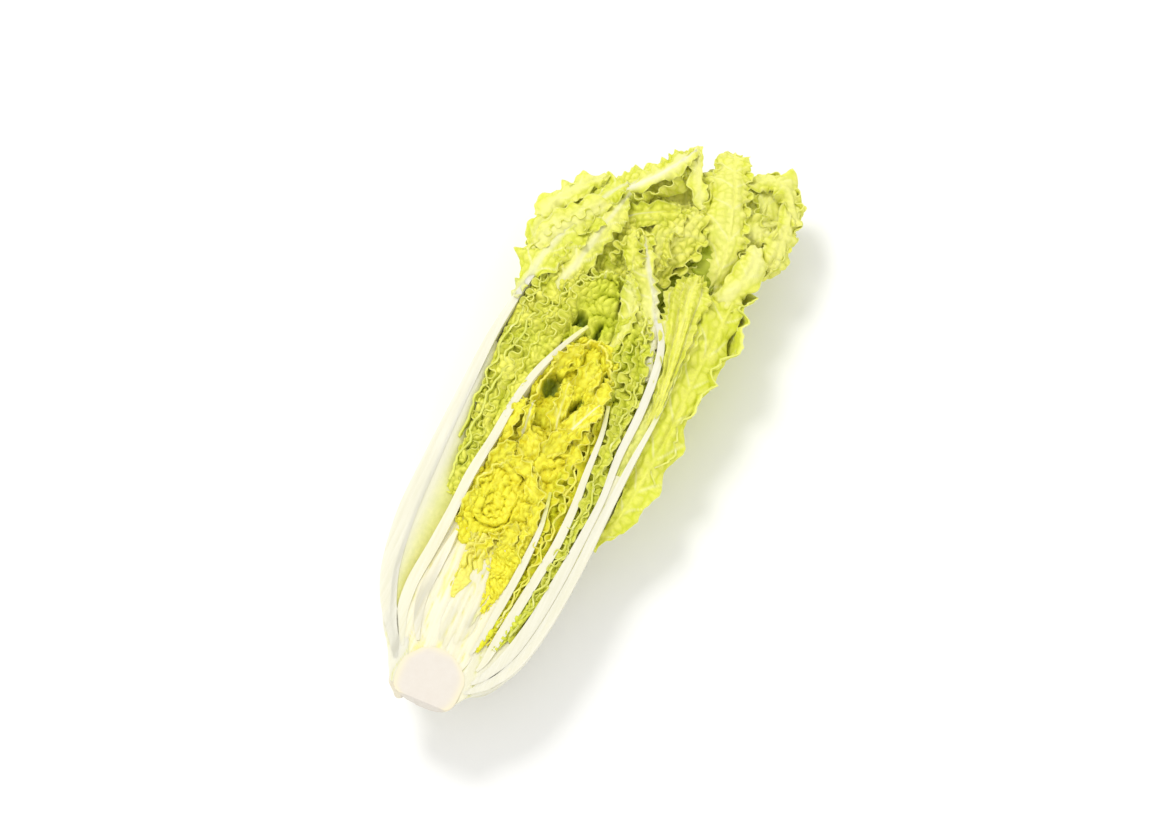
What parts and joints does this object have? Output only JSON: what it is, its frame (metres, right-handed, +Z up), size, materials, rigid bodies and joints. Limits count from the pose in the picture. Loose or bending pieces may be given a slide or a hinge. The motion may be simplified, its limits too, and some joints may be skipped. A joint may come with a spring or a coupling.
{
  "type": "half napa cabbage",
  "caption": "Napa cabbage cut lengthwise and lying on its back: white stalks nested round a yellow heart, with ruffled leaf tips.",
  "frame": {"origin": "centre of the box's underside, on the surface that the half rests on", "axes": "+Y from the stem's cut end towards the leaf tips, +Z up out of the cut face, +X across the head"},
  "size_m": [0.1312, 0.3522, 0.0612],
  "materials": {
    "stalk": "smooth white leaf stalk, slightly translucent and moist at the cut",
    "stem": "cut stem, matte and fibrous",
    "leaf_green": "yellow-green crinkled leaf, soft sheen",
    "leaf_yellow": "yellow crinkled inner leaf, soft sheen"
  },
  "bodies": {
    "root": {"stem_stump": "stem", "outer_leaf_under": "stalk", "outer_leaf_right": "stalk", "inner_leaf_right": "stalk", "frill_leaf_right": "leaf_green", "heart_leaf_right": "stalk", "frill_leaf_heart": "leaf_green", "heart_stalk_right": "stalk", "outer_leaf_left": "stalk", "frill_leaf_left": "leaf_green", "ribbed_leaf_left": "leaf_green", "arched_leaf_left": "stalk", "heart_stalk_left": "stalk", "under_leaf_right": "leaf_green", "under_leaf_back": "leaf_yellow", "under_leaf_ridge": "leaf_green", "under_leaf_cup": "leaf_yellow", "under_leaf_left": "leaf_green", "dome_leaf": "leaf_yellow", "heart_stem": "stalk", "heart": "leaf_yellow"}
  },
  "joints": []
}
